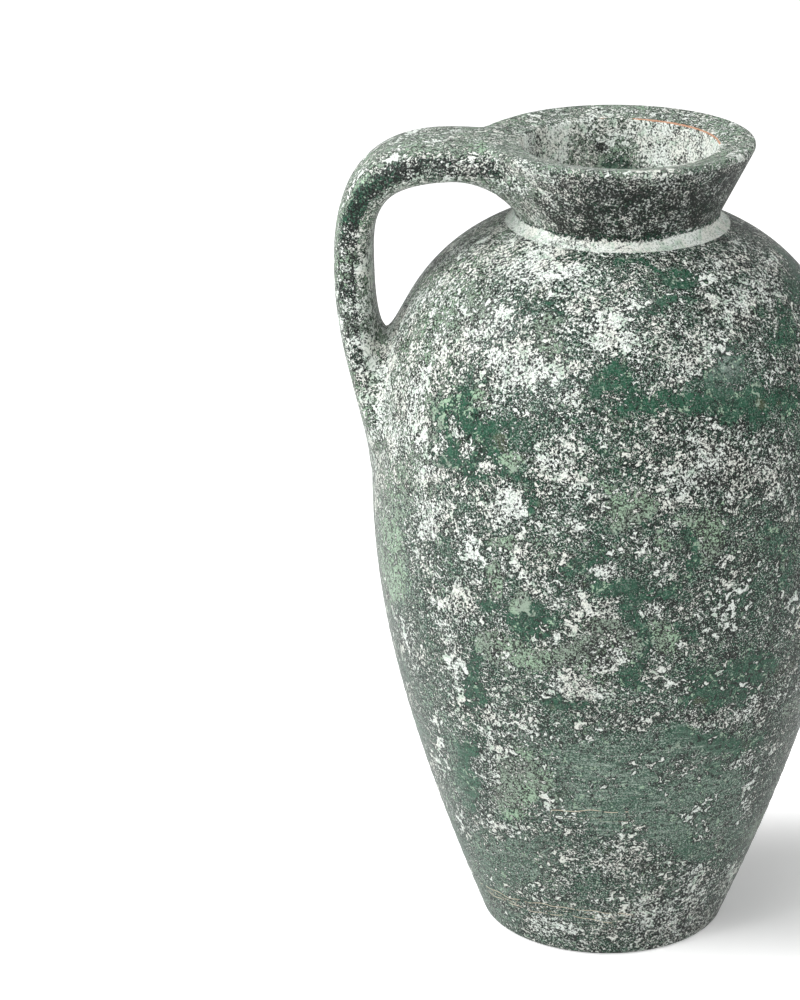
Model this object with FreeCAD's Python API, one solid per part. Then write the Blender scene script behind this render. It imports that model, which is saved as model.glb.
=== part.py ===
import FreeCAD, Part
import math
import os

# One-handled ceramic jug vase: a body thrown in two sections, a flared collar with a broad lip,
# and a pulled strap handle with clay webs at both ends. Lengths are in millimetres, angles in
# degrees. The origin is the centre of the foot, +Z is up and the handle stands towards -X.

Vector = FreeCAD.Vector

# Body outline, from the foot up
foot_radius = 67.6
foot_lean = 21.2
heel_rounding = 4.0
belly_radius = 131.5
belly_height = 262.0
shoulder_rise = 144.6
shoulder_lean = 19.4
foot_pull_share = 0.333
belly_pull_share = 0.335
shoulder_pull_share = 0.492
collar_pull_share = 0.366

# Clay thickness
wall = 9.0
floor_thickness = 12.0
floor_rounding = 13.0
joint_tongue = 4.0

# Collar
collar_rise = 43.4
collar_foot_radius = 52.6
rim_radius = 72.0
mouth_radius = 52.1
throat_radius = 45.5
mitre_depth = 11.0
lip_fall = 3.8
rim_rounding = 3.0
mouth_rounding = 1.6

# Coil of clay in the corner between the shoulder and the collar
coil_width = 7.6
coil_rise = 5.0
coil_hollow_share = 0.10

# Strap handle: centre line
strap_start_share = 0.77
strap_start_drop = 13.4
strap_climb = 4.4
grip_standoff = 9.8
grip_drop = 53.6
root_depth_share = 0.54
root_above_belly = 8.0
root_lean = 13.6
top_pull_share = 0.587
bend_pull_share = 1.168
grip_pull_share = 0.416
root_pull_share = 0.402

# Strap handle: cross sections
strap_width = 52.0
strap_thickness = 20.0
# Shares of the way along a centre line, of the strap's width and of its thickness, and the
# share by which each quarter of the section is pulled out to its corner: about 0.55 is an oval
upper_section_shares = [
    (0.00, 1.36, 0.78, 0.62),
    (0.12, 1.38, 0.88, 0.64),
    (0.24, 1.32, 1.03, 0.68),
    (0.36, 1.28, 1.08, 0.72),
    (0.50, 1.24, 1.07, 0.75),
    (0.66, 1.13, 1.03, 0.78),
    (0.83, 1.02, 1.00, 0.78),
    (1.00, 0.94, 1.03, 0.78),
]
lower_section_shares = [
    (0.25, 0.93, 1.02, 0.77),
    (0.42, 0.98, 0.98, 0.73),
    (0.54, 1.09, 0.96, 0.67),
    (0.65, 1.33, 0.95, 0.60),
    (0.75, 1.42, 0.95, 0.58),
    (0.87, 1.18, 0.93, 0.56),
    (1.00, 0.44, 0.90, 0.55),
]

# Clay webs at the handle's ends
top_web_width = 64.0
top_web_foot_width = 38.0
top_web_reach = 29.0
top_web_foot = 7.6
top_web_drop = 21.0
top_web_hollow_share = 0.12
crotch_web_width = 30.0
crotch_web_foot_width = 36.0
crotch_rounding = 4.5
crotch_hollow_share = 0.5
crotch_depth = 20.0

# How far a blank runs into its neighbour before the neighbour's own surface trims it
overrun = 4.0

body_top = belly_height + shoulder_rise
rim_height = body_top + collar_rise


def place(radius, height):
    """Point of the half plane on the +X side of the axis."""
    return Vector(radius, 0, height)


def way(lean):
    """Unit direction in that half plane, leaning by an angle from +Z towards +X."""
    return Vector(math.sin(math.radians(lean)), 0, math.cos(math.radians(lean)))


def bow(start, start_way, start_share, end, end_way, end_share):
    """Cubic curve whose end tangents are pulled by shares of its chord."""
    chord = (end - start).Length
    curve = Part.BezierCurve()
    curve.setPoles([
        start,
        start + start_way * (chord * start_share),
        end - end_way * (chord * end_share),
        end,
    ])
    return curve


def line(start, end):
    return Part.makeLine(start, end)


def hollow(start, end, share):
    """Curve that sags from its chord by a share of the chord, to the right of the way it runs."""
    chord = end - start
    side = Vector(chord.z, 0, -chord.x)
    curve = Part.BezierCurve()
    curve.setPoles([start, (start + end) / 2 + side * (2 * share), end])
    return curve.toShape()


def rounding(start, start_way, end, end_way, radius):
    """Round edge of a radius that leaves one tangent line and joins another."""
    half = math.acos(start_way.dot(end_way)) / 2
    side = end_way - start_way * start_way.dot(end_way)
    side.normalize()
    middle = start + start_way * (radius * math.sin(half)) + side * (radius * (1 - math.cos(half)))
    return Part.Arc(start, middle, end).toShape()


def round_corner(before, corner, after, radius):
    """Start and end of a rounded corner, with the round edge between them."""
    start_way = (corner - before).normalize()
    end_way = (after - corner).normalize()
    back = radius * math.tan(math.acos(start_way.dot(end_way)) / 2)
    start = corner - start_way * back
    end = corner + end_way * back
    return start, end, rounding(start, start_way, end, end_way, radius)


def touch(point, centre, radius, turn):
    """Point where a line from a point touches a circle, on the side that the turn names."""
    reach = centre - point
    half = turn * math.asin(radius / reach.Length)
    bent = Vector(reach.x * math.cos(half) + reach.z * math.sin(half), 0,
                  reach.z * math.cos(half) - reach.x * math.sin(half))
    return point + bent * math.cos(half)


def turned(edges):
    """Solid of revolution of a closed outline about the vertical axis."""
    face = Part.Face(Part.Wire(edges))
    return face.revolve(Vector(0, 0, 0), Vector(0, 0, 1), 360)


# Outline of the outside and of the inside. The inside keeps the wall's thickness
# square to the outside at the foot, the belly and the shoulder.
up = Vector(0, 0, 1)
foot_way = way(foot_lean)
shoulder_way = way(shoulder_lean - 90)
foot_corner = place(foot_radius, 0)
belly_corner = place(belly_radius, belly_height)
shoulder_corner = place(collar_foot_radius, body_top)
axis_foot = place(0, 0)
axis_floor = place(0, floor_thickness)
axis_belly = place(0, belly_height)
axis_top = place(0, body_top)
heel_start, heel_end, heel = round_corner(
    axis_foot, foot_corner, foot_corner + foot_way, heel_rounding)
outer_low = bow(heel_end, foot_way, foot_pull_share,
                belly_corner, up, belly_pull_share).toShape()
shoulder_curve = bow(belly_corner, up, shoulder_pull_share,
                     shoulder_corner, shoulder_way, collar_pull_share)
outer_high = shoulder_curve.toShape()

floor_radius = foot_radius + floor_thickness * math.tan(math.radians(foot_lean))
floor_radius = floor_radius - wall / math.cos(math.radians(foot_lean))
floor_corner = place(floor_radius, floor_thickness)
inner_belly = place(belly_radius - wall, belly_height)
throat_corner = place(throat_radius, body_top - mitre_depth)
floor_end, wall_start, floor_edge = round_corner(
    axis_floor, floor_corner, floor_corner + foot_way, floor_rounding)
inner_low = bow(wall_start, foot_way, foot_pull_share,
                inner_belly, up, belly_pull_share).toShape()
inner_high = bow(inner_belly, up, shoulder_pull_share,
                 throat_corner, shoulder_way, collar_pull_share).toShape()

# The whole body as one filled block, which trims everything that is pressed against it
body_block = turned([
    line(axis_foot, heel_start),
    heel,
    outer_low,
    outer_high,
    line(shoulder_corner, axis_top),
    line(axis_top, axis_foot),
])

# Lower section: floor, foot and wall up to the belly, with a groove round its top edge
tongue_tip = place(belly_radius - wall / 2, belly_height - joint_tongue)
lower_body = turned([
    line(axis_foot, heel_start),
    heel,
    outer_low,
    line(belly_corner, tongue_tip),
    line(tongue_tip, inner_belly),
    inner_low,
    floor_edge,
    line(floor_end, axis_floor),
    line(axis_floor, axis_foot),
])

# Shoulder section: a tongue below seats in the groove, a mitre above takes the collar
upper_body = turned([
    line(tongue_tip, belly_corner),
    outer_high,
    line(shoulder_corner, throat_corner),
    inner_high,
    line(inner_belly, tongue_tip),
])

# Collar: a flared cone with a rounded rim, whose lip falls towards the mouth
mouth_corner = place(mouth_radius, rim_height - lip_fall)
rim_centre = place(rim_radius - rim_rounding, rim_height - rim_rounding)
rim_outer = touch(shoulder_corner, rim_centre, rim_rounding, 1)
rim_inner = touch(mouth_corner, rim_centre, rim_rounding, -1)
rim_up = (rim_outer - shoulder_corner).normalize()
rim_in = (mouth_corner - rim_inner).normalize()
rim_bead = rounding(rim_outer, rim_up, rim_inner, rim_in, rim_rounding)
axis_throat = place(0, body_top - mitre_depth)
axis_mouth = place(0, rim_height - lip_fall)
mouth_start, mouth_end, mouth_edge = round_corner(
    rim_inner, mouth_corner, throat_corner, mouth_rounding)
neck_block = turned([
    line(axis_throat, throat_corner),
    line(throat_corner, shoulder_corner),
    line(shoulder_corner, rim_outer),
    rim_bead,
    line(rim_inner, mouth_corner),
    line(mouth_corner, axis_mouth),
    line(axis_mouth, axis_throat),
])
neck = turned([
    line(throat_corner, shoulder_corner),
    line(shoulder_corner, rim_outer),
    rim_bead,
    line(rim_inner, mouth_start),
    mouth_edge,
    line(mouth_end, throat_corner),
])

# Coil of clay wiped into the corner at the collar's foot, hollow on its open side
coil_foot_drop = coil_width * math.tan(math.radians(shoulder_lean)) + heel_rounding / 8
coil_outer = place(collar_foot_radius + coil_width, body_top - coil_foot_drop)
collar_slope = (rim_outer.x - shoulder_corner.x) / (rim_outer.z - shoulder_corner.z)
coil_upper = place(collar_foot_radius + coil_rise * collar_slope, body_top + coil_rise)
coil_back = place(collar_foot_radius - overrun, body_top + coil_rise)
coil_seat = place(collar_foot_radius - overrun, body_top - coil_foot_drop)
coil_blank = turned([
    hollow(coil_upper, coil_outer, coil_hollow_share),
    line(coil_outer, coil_seat),
    line(coil_seat, coil_back),
    line(coil_back, coil_upper),
])
neck_seam = coil_blank.cut(body_block).cut(neck_block)

# Centre line of the strap in the plane of the handle, as two curves that meet upright
# where the grip stands out furthest
strap_start_radius = mouth_radius * strap_start_share
root_depth = strap_thickness * root_depth_share
root_radius = belly_radius - root_depth
root_height = belly_height + root_above_belly
strap_start_height = rim_height - strap_start_drop
strap_top = strap_start_height + strap_climb
grip_radius = belly_radius + grip_standoff
grip_height = strap_start_height - grip_drop
grip_reach = grip_radius - strap_start_radius
grip_length = grip_height - root_height


def spine(poles):
    curve = Part.BezierCurve()
    curve.setPoles([Vector(-radius, 0, height) for radius, height in poles])
    return curve


lean = math.radians(root_lean)
root_pull = grip_length * root_pull_share
upper_spine = spine([
    (strap_start_radius, strap_start_height),
    (strap_start_radius + grip_reach * top_pull_share, strap_top),
    (grip_radius, grip_height + grip_drop * bend_pull_share),
    (grip_radius, grip_height),
])
lower_spine = spine([
    (grip_radius, grip_height),
    (grip_radius, grip_height - grip_length * grip_pull_share),
    (root_radius + root_pull * math.sin(lean), root_height + root_pull * math.cos(lean)),
    (root_radius, root_height),
])


def strap_section(curve, along, width_share, thickness_share, pull_share):
    """Closed rounded section square to the centre line, as four quarter curves."""
    centre = curve.value(along)
    forward = Vector(curve.tangent(along)[0])
    forward.normalize()
    side = Vector(0, strap_width * width_share / 2, 0)
    lift = forward.cross(Vector(0, 1, 0)) * (strap_thickness * thickness_share / 2)
    quarters = []
    for start, end in ((side, lift), (lift, -side), (-side, -lift), (-lift, side)):
        quarter = Part.BezierCurve()
        quarter.setPoles([
            centre + start,
            centre + start + end * pull_share,
            centre + end + start * pull_share,
            centre + end,
        ])
        quarters.append(quarter.toShape())
    return Part.Wire(quarters)


sections = [strap_section(upper_spine, *row) for row in upper_section_shares]
sections += [strap_section(lower_spine, *row) for row in lower_section_shares]
strap = Part.makeLoft(sections, True, False)
handle = strap.cut(body_block).cut(neck_block)


def tongue(low, high, low_width, high_width):
    """Upright block towards -X, between two heights, whose sides flow from one width to another."""
    corners = [
        Vector(0, -low_width / 2, low),
        Vector(0, low_width / 2, low),
        Vector(0, high_width / 2, high),
        Vector(0, -high_width / 2, high),
    ]
    flanks = []
    for start, end in ((corners[1], corners[2]), (corners[0], corners[3])):
        curve = Part.BezierCurve()
        middle = (start.z + end.z) / 2
        curve.setPoles([start, Vector(0, start.y, middle), Vector(0, end.y, middle), end])
        flanks.append(curve.toShape())
    face = Part.Face(Part.Wire([
        line(corners[0], corners[1]),
        flanks[0],
        line(corners[2], corners[3]),
        flanks[1],
    ]))
    return face.extrude(Vector(-2 * grip_radius, 0, 0))


# Web under the strap at the collar
strap_foot = strap_top - strap_thickness / 2
web_low = place(collar_foot_radius + top_web_foot, strap_foot - top_web_drop)
web_far = place(collar_foot_radius + top_web_reach, strap_foot + overrun / 2)
web_far_in = place(collar_foot_radius + top_web_reach, strap_top)
web_near_in = place(collar_foot_radius - overrun, strap_top)
web_near_low = place(collar_foot_radius - overrun, web_low.z)
half_turn = 40
top_web = Part.Face(Part.Wire([
    hollow(web_far, web_low, -top_web_hollow_share),
    line(web_low, web_near_low),
    line(web_near_low, web_near_in),
    line(web_near_in, web_far_in),
    line(web_far_in, web_far),
])).revolve(Vector(0, 0, 0), Vector(0, 0, 1), 2 * half_turn)
top_web.rotate(Vector(0, 0, 0), Vector(0, 0, 1), 180 - half_turn)
handle_top_seam = top_web.common(tongue(
    web_low.z, strap_top, top_web_foot_width, top_web_width))
handle_top_seam = handle_top_seam.cut(handle).cut(neck_block).cut(body_block).cut(neck_seam)


def shoulder_radius(height):
    """Radius of the shoulder's outside at a height, by halving steps along its curve."""
    low, high = 0.0, 1.0
    for _ in range(40):
        middle = (low + high) / 2
        if shoulder_curve.value(middle).z < height:
            low = middle
        else:
            high = middle
    return shoulder_curve.value(low).x


def strap_inside(along):
    """Point of the strap's inner face, at a share of the way down the lower centre line,
    given in the half plane on the +X side."""
    forward = Vector(lower_spine.tangent(along)[0])
    forward.normalize()
    inner = lower_spine.value(along) + forward.cross(Vector(0, 1, 0)) * (strap_thickness / 2)
    return place(-inner.x, inner.z)


# The crotch is where the strap comes as near to the shoulder as its round hollow is wide
free, joined = 0.0, 1.0
for _ in range(40):
    middle_way = (free + joined) / 2
    inside = strap_inside(middle_way)
    if inside.x - shoulder_radius(inside.z) > 2 * crotch_rounding:
        free = middle_way
    else:
        joined = middle_way
crotch_edge = strap_inside(free)
crotch_radius = crotch_edge.x - crotch_rounding
crotch_top = crotch_edge.z
crotch_height = crotch_top - 2 * crotch_rounding * crotch_hollow_share


def mirrored(radius, height):
    """Point of the half plane on the handle's side of the axis."""
    return Vector(-radius, 0, height)


crotch_out = mirrored(crotch_radius + crotch_rounding, crotch_top)
crotch_in = mirrored(crotch_radius - crotch_rounding, crotch_top)
crotch_far = mirrored(crotch_radius + crotch_rounding + overrun, crotch_top)
crotch_near = mirrored(crotch_radius - crotch_rounding - overrun, crotch_top)
crotch_far_low = mirrored(crotch_radius + crotch_rounding + overrun, crotch_height - crotch_depth)
crotch_near_low = mirrored(crotch_radius - crotch_rounding - overrun, crotch_height - crotch_depth)
crotch_slab = Part.Face(Part.Wire([
    line(crotch_far, crotch_out),
    hollow(crotch_out, crotch_in, crotch_hollow_share),
    line(crotch_in, crotch_near),
    line(crotch_near, crotch_near_low),
    line(crotch_near_low, crotch_far_low),
    line(crotch_far_low, crotch_far),
])).extrude(Vector(0, 2 * crotch_web_width, 0))
crotch_slab.translate(Vector(0, -crotch_web_width, 0))
handle_root_seam = crotch_slab.common(tongue(
    crotch_height - crotch_depth, crotch_top, crotch_web_foot_width, crotch_web_width))
handle_root_seam = handle_root_seam.cut(handle).cut(body_block)
print("crotch radius", round(crotch_radius, 1), "height", round(crotch_height, 1))

os.makedirs("parts", exist_ok=True)
pieces = {
    "lower_body": lower_body,
    "upper_body": upper_body,
    "neck": neck,
    "neck_seam": neck_seam,
    "handle": handle,
    "handle_root_seam": handle_root_seam,
    "handle_top_seam": handle_top_seam,
}
for name, shape in pieces.items():
    solids = shape.Solids
    print(name, "solids", len(solids), "valid", shape.isValid(), "volume", round(shape.Volume))
    solid = solids[0] if len(solids) == 1 else Part.makeCompound(solids)
    solid.exportStep("parts/" + name + ".step")
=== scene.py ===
# %% [markdown]
# # A weathered green jug vase
#
# The object is a tall stoneware jug: an egg-shaped body on a small flat foot, a short flared
# collar with a broad lip, and one strap handle that grows out of the lip and is pressed onto
# the shoulder. Its surface is the interesting part: a green glaze that has flaked and worn
# down to a chalky slip.
#
# The lesson builds the clay first, as surfaces worked out with numpy, and then the glaze, as
# a few masks that live on the vertices and a stack of procedural noises in the material.

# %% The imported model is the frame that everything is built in
import bpy
import math
import numpy as np
from mathutils import Matrix, Vector


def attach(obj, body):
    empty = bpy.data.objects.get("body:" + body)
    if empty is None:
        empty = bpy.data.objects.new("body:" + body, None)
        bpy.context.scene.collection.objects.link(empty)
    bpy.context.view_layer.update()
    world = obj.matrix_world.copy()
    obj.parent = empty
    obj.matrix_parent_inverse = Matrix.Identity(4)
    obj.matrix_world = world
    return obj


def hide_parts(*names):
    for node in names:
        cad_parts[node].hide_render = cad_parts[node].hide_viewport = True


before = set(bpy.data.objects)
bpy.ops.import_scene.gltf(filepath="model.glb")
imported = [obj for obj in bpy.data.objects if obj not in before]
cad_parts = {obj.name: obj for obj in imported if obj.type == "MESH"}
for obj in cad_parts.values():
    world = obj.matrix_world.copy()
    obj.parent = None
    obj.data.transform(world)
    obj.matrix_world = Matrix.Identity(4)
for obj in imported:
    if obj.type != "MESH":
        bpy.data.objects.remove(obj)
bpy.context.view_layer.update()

# %% [markdown]
# ## The outline of the pot
#
# A thrown pot is a surface of revolution, so one outline in the half plane (radius, height)
# says almost everything. A potter thinks of it as a few long sweeps: foot to belly, belly to
# shoulder, and the straight flare of the collar. Each sweep here is a cubic curve that is
# given by its two ends, the lean of the clay at each end, and how far each end pulls.
# All lengths are in millimetres until they become mesh coordinates.

# %% Sizes of the pot
FOOT_RADIUS = 67.6
FOOT_LEAN = 21.2
HEEL_ROUNDING = 4.0
BELLY_RADIUS = 131.5
BELLY_HEIGHT = 262.0
BODY_TOP = 406.6
SHOULDER_LEAN = -70.6
WALL = 9.0
FLOOR = 12.0
JOINT_TONGUE = 4.0
COLLAR_FOOT_RADIUS = 52.6
RIM_HEIGHT = 450.0
RIM_RADIUS = 72.0
RIM_ROUNDING = 3.0
MOUTH_RADIUS = 52.1
MOUTH_HEIGHT = 446.2
THROAT_RADIUS = 45.5
THROAT_HEIGHT = 395.6
COIL_WIDTH = 7.6
COIL_RISE = 5.0
MM = 0.001


def lean_way(lean):
    """Unit direction (radius, height) that leans by an angle in degrees from upright."""
    return np.array([math.sin(math.radians(lean)), math.cos(math.radians(lean))])


def cubic(poles, count):
    """Cubic Bezier curve: (1 - t)^3 a + 3 (1 - t)^2 t b + 3 (1 - t) t^2 c + t^3 d, for the
    four control points a to d and t from 0 to 1."""
    a, b, c, d = [np.array(pole, float) for pole in poles]
    t = np.linspace(0.0, 1.0, count)[:, None]
    return (1 - t) ** 3 * a + 3 * (1 - t) ** 2 * t * b + 3 * (1 - t) * t ** 2 * c + t ** 3 * d


def sweep(start, start_lean, start_pull, end, end_lean, end_pull, count=240):
    """Cubic curve from start to end. Its two inner control points lie on the end tangents,
    each at a share (the pull) of the straight distance between the ends."""
    start, end = np.array(start, float), np.array(end, float)
    chord = np.linalg.norm(end - start)
    return cubic([start, start + lean_way(start_lean) * chord * start_pull,
                  end - lean_way(end_lean) * chord * end_pull, end], count)


def arc(centre, radius, start, end, count=16):
    """Points centre + radius * (cos a, sin a), for angles a from start to end in degrees."""
    a = np.radians(np.linspace(start, end, count))
    return np.array(centre, float) + radius * np.stack([np.cos(a), np.sin(a)], axis=1)


def straight(start, end, count=2):
    """Points on the straight line from start to end."""
    t = np.linspace(0.0, 1.0, count)[:, None]
    return np.array(start, float) * (1 - t) + np.array(end, float) * t


def tangent_point(point, centre, radius, turn):
    """Where a line from a point touches a circle: the direction to the centre is turned by
    the angle whose sine is radius / distance, and followed for the cosine's share."""
    point, centre = np.array(point, float), np.array(centre, float)
    reach = centre - point
    a = turn * math.asin(radius / np.linalg.norm(reach))
    bent = np.array([reach[0] * math.cos(a) + reach[1] * math.sin(a),
                     reach[1] * math.cos(a) - reach[0] * math.sin(a)])
    return point + bent * math.cos(a)


def length_along(points):
    """Length of an outline up to each of its points."""
    return np.concatenate([[0.0], np.cumsum(np.linalg.norm(np.diff(points, axis=0), axis=1))])


def even(points, spacing):
    """The same outline with its points spaced evenly along its length."""
    along = length_along(points)
    count = max(2, int(round(along[-1] / spacing)) + 1)
    where = np.linspace(0.0, along[-1], count)
    return np.stack([np.interp(where, along, points[:, i]) for i in range(2)], axis=1)


def chain(*runs):
    """Outlines put end to end, with each shared corner kept once."""
    return np.concatenate([runs[0]] + [run[1:] for run in runs[1:]])


# %% The outlines of the outside and of the inside
belly = (BELLY_RADIUS, BELLY_HEIGHT)
inner_belly = (BELLY_RADIUS - WALL, BELLY_HEIGHT)
shoulder_corner = (COLLAR_FOOT_RADIUS, BODY_TOP)
throat_corner = (THROAT_RADIUS, THROAT_HEIGHT)
mouth_edge = np.array([MOUTH_RADIUS, MOUTH_HEIGHT])
floor_radius = (FOOT_RADIUS + FLOOR * math.tan(math.radians(FOOT_LEAN))
                - WALL / math.cos(math.radians(FOOT_LEAN)))


def wall_sweeps(foot, widest, top):
    """The two curves of a wall: from the foot to the belly, and from the belly to the top."""
    return (sweep(foot, FOOT_LEAN, 0.333, widest, 0, 0.335),
            sweep(widest, 0, 0.492, top, SHOULDER_LEAN, 0.366))


wall_low, wall_high = wall_sweeps((FOOT_RADIUS, 0), belly, shoulder_corner)
inner_low, inner_high = wall_sweeps((floor_radius, FLOOR), inner_belly, throat_corner)

heel_back = HEEL_ROUNDING / math.tan(math.radians((90 + FOOT_LEAN) / 2))
heel = arc((FOOT_RADIUS - heel_back, HEEL_ROUNDING), HEEL_ROUNDING, -90, -FOOT_LEAN, 7)
wall_above_heel = wall_low[wall_low[:, 1] > heel[-1, 1] + 0.3]

rim_centre = np.array([RIM_RADIUS - RIM_ROUNDING, RIM_HEIGHT - RIM_ROUNDING])
rim_outer = tangent_point(shoulder_corner, rim_centre, RIM_ROUNDING, 1)
rim_inner = tangent_point(mouth_edge, rim_centre, RIM_ROUNDING, -1)
bead_start, bead_end = [math.degrees(math.atan2(*(touch - rim_centre)[::-1]))
                        for touch in (rim_outer, rim_inner)]
bead = arc(rim_centre, RIM_ROUNDING, bead_start, bead_end, 12)
print("floor radius", round(floor_radius, 1), "bead from", round(bead_start), "to", round(bead_end))

# %% [markdown]
# ## The strap handle
#
# The handle is a pulled strap of clay. Its centre line lies in one vertical plane: it leaves
# the lip level, bends over and comes down upright, then leans in to the shoulder. The section
# is a soft rectangle, a superellipse, whose width, thickness and squareness change on the way.
# It fans out where it grows from the lip and again where the thumb has pressed it onto the pot.

# %% Centre line and sections of the strap
GRIP = (141.3, 383.0)
STRAP_START = 59.0
ROOT = (120.7, 270.0)
SPINE_STEP = 1.5

# Columns: share of the way, half width, half thickness, squareness of the superellipse
STRAP_SECTIONS = np.array([
    (0.000, 40.0, 9.0, 2.30),
    (0.040, 38.5, 9.6, 2.35),
    (0.090, 36.0, 10.5, 2.45),
    (0.150, 34.0, 11.1, 2.65),
    (0.240, 32.2, 11.3, 2.85),
    (0.340, 28.0, 10.9, 3.00),
    (0.440, 25.4, 10.3, 3.00),
    (0.560, 24.2, 10.4, 3.00),
    (0.660, 24.4, 10.1, 2.90),
    (0.730, 26.0, 9.8, 2.70),
    (0.780, 29.0, 9.6, 2.40),
    (0.830, 35.4, 9.5, 2.15),
    (0.870, 36.9, 9.5, 2.10),
    (0.910, 33.5, 9.4, 2.05),
    (0.955, 25.0, 9.3, 2.00),
    (1.000, 11.0, 9.0, 2.00),
])


def unit(vectors):
    """Vectors divided by their own lengths."""
    return vectors / np.maximum(np.linalg.norm(vectors, axis=-1, keepdims=True), 1e-9)


def smooth_table(at, rows, column):
    """Value of a table's column at any share of the way, through its rows by a curve whose
    slope at each row is a mean of the slopes on its two sides (a Catmull-Rom curve)."""
    x, y = rows[:, 0], rows[:, column]
    slope = np.gradient(y, x)
    i = np.clip(np.searchsorted(x, at) - 1, 0, len(x) - 2)
    span = x[i + 1] - x[i]
    t = np.clip((at - x[i]) / span, 0, 1)
    return ((2 * t ** 3 - 3 * t ** 2 + 1) * y[i] + (t ** 3 - 2 * t ** 2 + t) * span * slope[i]
            + (3 * t ** 2 - 2 * t ** 3) * y[i + 1] + (t ** 3 - t ** 2) * span * slope[i + 1])


over = cubic([(40.0, 436.6), (99.5, 441.0), (GRIP[0], 445.6), GRIP], 400)
down = cubic([GRIP, (GRIP[0], 336.0), (131.4, 314.2), ROOT], 400)
spine = even(np.concatenate([over[over[:, 0] > STRAP_START], down[1:]]), SPINE_STEP)
share = np.linspace(0.0, 1.0, len(spine))
half_width, half_thickness, squareness = [smooth_table(share, STRAP_SECTIONS, c)
                                          for c in (1, 2, 3)]
spine_way = unit(np.gradient(spine, axis=0))
# Turned a quarter: away from the pot on the upright run, up on the level run
spine_out = np.stack([-spine_way[:, 1], spine_way[:, 0]], axis=1)
print("strap length", round(SPINE_STEP * (len(spine) - 1), 1), "samples", len(spine))

# %% [markdown]
# ## One skin over pot and handle
#
# Where a potter joins a handle, wet clay is smeared over the joint, so pot and strap share
# one skin with no crease. A modelling trick gives the same: describe each by its distance
# field and take a *smooth minimum* of the two, which fills the corner between them. Every
# mesh below is then pushed out along its own normals until it lies on that common skin.


# %% Distance field of the pot
CHUNK = 4000


def right_side(ways):
    """Unit vectors a quarter turn to the right of the given ones."""
    return unit(np.stack([ways[:, 1], -ways[:, 0]], axis=1))


def outline_distance(points, outline):
    """Signed distance of (radius, height) points to an outline: the nearest point on each
    segment is found by clamped projection, and the sign is the side of that segment."""
    start, ab = outline[:-1], np.diff(outline, axis=0)
    normal = right_side(ab)
    out = np.empty(len(points))
    for low in range(0, len(points), CHUNK):
        p = points[low:low + CHUNK, None, :]
        t = np.clip(((p - start) * ab).sum(2) / (ab * ab).sum(1), 0, 1)
        away = p - (start + t[..., None] * ab)
        gap = np.sqrt((away ** 2).sum(2))
        near = gap.argmin(1)
        row = np.arange(len(near))
        side = (away[row, near] * normal[near]).sum(1)
        out[low:low + CHUNK] = np.where(side >= 0, 1, -1) * gap[row, near]
    return out


collar_flare = (rim_outer - shoulder_corner)[0] / (rim_outer - shoulder_corner)[1]
coil_upper = np.array([COLLAR_FOOT_RADIUS + COIL_RISE * collar_flare, BODY_TOP + COIL_RISE])
coil_lower = wall_high[np.argmin(abs(wall_high[:, 0] - (COLLAR_FOOT_RADIUS + COIL_WIDTH)))]
coil_hollow = sweep(coil_lower, SHOULDER_LEAN, 0.36, coil_upper,
                    math.degrees(math.atan(collar_flare)), 0.36, 12)
shoulder_run = wall_high[wall_high[:, 0] > coil_lower[0] - 0.01]
outside = chain(even(wall_low[wall_low[:, 1] > 225], 4.0), even(shoulder_run, 4.0), coil_hollow,
                straight(coil_upper, rim_outer), bead, straight(rim_inner, mouth_edge),
                straight(mouth_edge, throat_corner))


def pot_distance(points):
    """Distance of space points (x, y, z) to the outside of the pot."""
    flat = np.stack([np.hypot(points[:, 0], points[:, 1]), points[:, 2]], axis=1)
    return outline_distance(flat, outside)


print("outside runs over", len(outside), "points, collar flares by", round(collar_flare, 3))

# %% Distance field of the strap
WRAP_REACH = (64, 96)
COLLAR_ZONE = 400
ROOT_REACH = 10
LIP_REACH = 8


def collar_radius(height):
    """Radius of the collar's outer cone at a height."""
    return COLLAR_FOOT_RADIUS + collar_flare * (height - BODY_TOP)


def on_spine(at, *columns):
    """Columns with one number for each sample of the centre line, read between the samples."""
    return [np.interp(at, np.arange(len(spine)), column) for column in columns]


def smooth_step(low, high, value):
    """0 below low, 1 above high, and 3 t^2 - 2 t^3 between them."""
    t = np.clip((value - low) / (high - low), 0, 1)
    return t * t * (3 - 2 * t)


def wrapped(reach):
    """How far the strap wraps round the collar: 1 at its wall, 0 where it runs straight."""
    return 1 - smooth_step(*WRAP_REACH, reach)


def strap_place(points):
    """Where points stand along the strap: the nearest sample of the centre line, then the
    rest of the way along the tangent, as a fractional sample number. Returns it with the
    offsets across the strap and out of its middle face, and the overshoot past an end.
    Near the collar the distance from the axis takes the place of -x, and the length of arc
    takes the place of y, which bends the strap round it."""
    reach, across = -points[:, 0], abs(points[:, 1])
    radius, angle = np.hypot(reach, across), np.arctan2(across, reach)
    bent = wrapped(reach)
    across = across + (radius * angle - across) * bent
    reach = reach + (radius - reach) * bent
    flat = np.stack([reach, points[:, 2]], axis=1)
    near = np.empty(len(points), int)
    for low in range(0, len(points), CHUNK):
        p = flat[low:low + CHUNK]
        near[low:low + CHUNK] = ((p[:, None, :] - spine) ** 2).sum(2).argmin(1)
    along = ((flat - spine[near]) * spine_way[near]).sum(1) / SPINE_STEP
    at = np.clip(near + np.clip(along, -1, 1), 0, len(spine) - 1)
    centre, out = [np.stack(on_spine(at, *line.T), axis=1) for line in (spine, spine_out)]
    v = ((flat - centre) * out).sum(1)
    past = np.maximum(np.maximum(-along * (near == 0), along * (near == len(spine) - 1)), 0)
    return at, across, v, past * SPINE_STEP


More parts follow.
